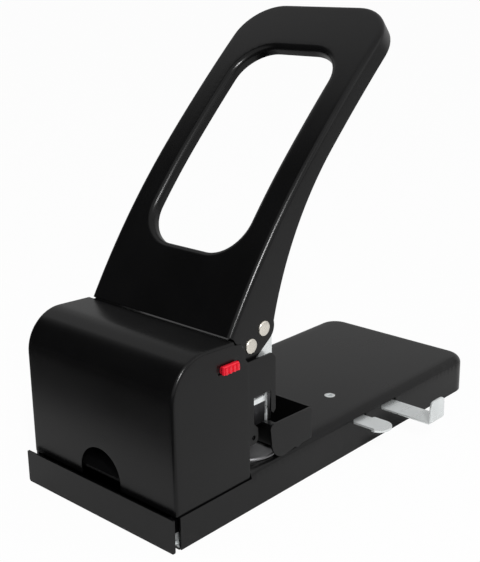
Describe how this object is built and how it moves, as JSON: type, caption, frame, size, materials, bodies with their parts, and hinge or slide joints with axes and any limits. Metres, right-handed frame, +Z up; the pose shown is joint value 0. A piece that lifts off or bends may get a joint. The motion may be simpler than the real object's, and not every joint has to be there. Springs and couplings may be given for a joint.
{
  "type": "hole punch",
  "caption": "Heavy-duty desk punch: a long pressed-steel lever drives pins through a paper stack over a flat base with a waste drawer, side guide and lock slider.",
  "frame": {"origin": "middle of the base's underside, on the ground, on the punch's left-right centre line", "axes": "+Z up; +Y from the paper's entry towards the waste drawer; +X to the side without the paper guide"},
  "size_m": [0.167, 0.3051, 0.2771],
  "materials": {
    "black_enamel": "satin black stove enamel on pressed steel",
    "zinc_plate": "bright zinc plate",
    "dark_steel": "blackened steel, oiled",
    "nickel_rivet": "nickel-plated rivet steel, lightly brushed",
    "tool_steel": "hardened ground steel",
    "brass_bush": "turned brass",
    "spring_steel": "drawn spring wire",
    "red_plastic": "moulded red plastic",
    "rubber": "matt black rubber"
  },
  "bodies": {
    "frame": {"base_plate": "black_enamel", "rubber_sole": "rubber", "bottom_plate": "zinc_plate", "base_posts": "zinc_plate", "base_screws": "zinc_plate", "tray_rails": "zinc_plate", "cover": "black_enamel", "cover_screws": "zinc_plate", "frame_screws": "zinc_plate", "side_plate_left": "black_enamel", "side_plate_right": "black_enamel", "bearing_plate_left": "dark_steel", "bearing_plate_right": "dark_steel", "tie_rods": "zinc_plate", "guide_bridge": "dark_steel", "guide_bushes": "brass_bush", "back_stop": "black_enamel", "die_left": "tool_steel", "die_right": "tool_steel", "return_spring_left": "spring_steel", "return_spring_right": "spring_steel", "guide_channel": "zinc_plate", "release_spring": "spring_steel", "release_sleeve": "zinc_plate", "deck_screws": "zinc_plate", "deck_nuts": "zinc_plate"},
    "lever": {"handle": "black_enamel", "pivot_shaft": "nickel_rivet", "link_shaft": "nickel_rivet", "pivot_spacers": "zinc_plate"},
    "punch_head": {"yoke_left": "zinc_plate", "yoke_right": "zinc_plate", "punch_bar": "dark_steel", "punch_pin_left": "tool_steel", "punch_pin_right": "tool_steel"},
    "clamp": {"paper_clamp": "black_enamel", "clamp_hangers": "zinc_plate"},
    "drawer": {"chip_tray": "black_enamel"},
    "lock": {"lock_knob": "red_plastic", "lock_bar": "dark_steel"},
    "guide": {"paper_guide": "zinc_plate"},
    "release": {"guide_release": "zinc_plate"}
  },
  "joints": [
    {"name": "lever_pivot", "type": "hinge", "parent": "frame", "child": "lever", "pos_m": [0, 0.0828, 0.0995], "axis": [1, 0, 0], "range_deg": [0, 60], "stiffness_Nm_per_rad": 1.2, "springref_deg": -34.38, "deforming": ["return_spring_left", "return_spring_right"]},
    {"name": "punch_slide", "type": "slide", "parent": "frame", "child": "punch_head", "axis": [0, 0, -1], "range_m": [0, 0.0136]},
    {"name": "clamp_lift", "type": "slide", "parent": "frame", "child": "clamp", "axis": [0, 0, 1], "range_m": [0, 0.012]},
    {"name": "drawer_slide", "type": "slide", "parent": "frame", "child": "drawer", "axis": [0, 1, 0], "range_m": [0, 0.105]},
    {"name": "lock_slide", "type": "slide", "parent": "frame", "child": "lock", "axis": [0, 1, 0], "range_m": [-0.002, 0.003]},
    {"name": "guide_slide", "type": "slide", "parent": "frame", "child": "guide", "axis": [-1, 0, 0], "range_m": [-0.035, 0.034]},
    {"name": "release_push", "type": "slide", "parent": "frame", "child": "release", "axis": [1, 0, 0], "range_m": [0, 0.0045], "stiffness_N_per_m": 300, "springref_m": -0.003, "deforming": ["release_spring"]}
  ],
  "couplings": [
    {"joint": "punch_slide", "follows": "lever_pivot", "m_per_rad": 0.0128}
  ]
}
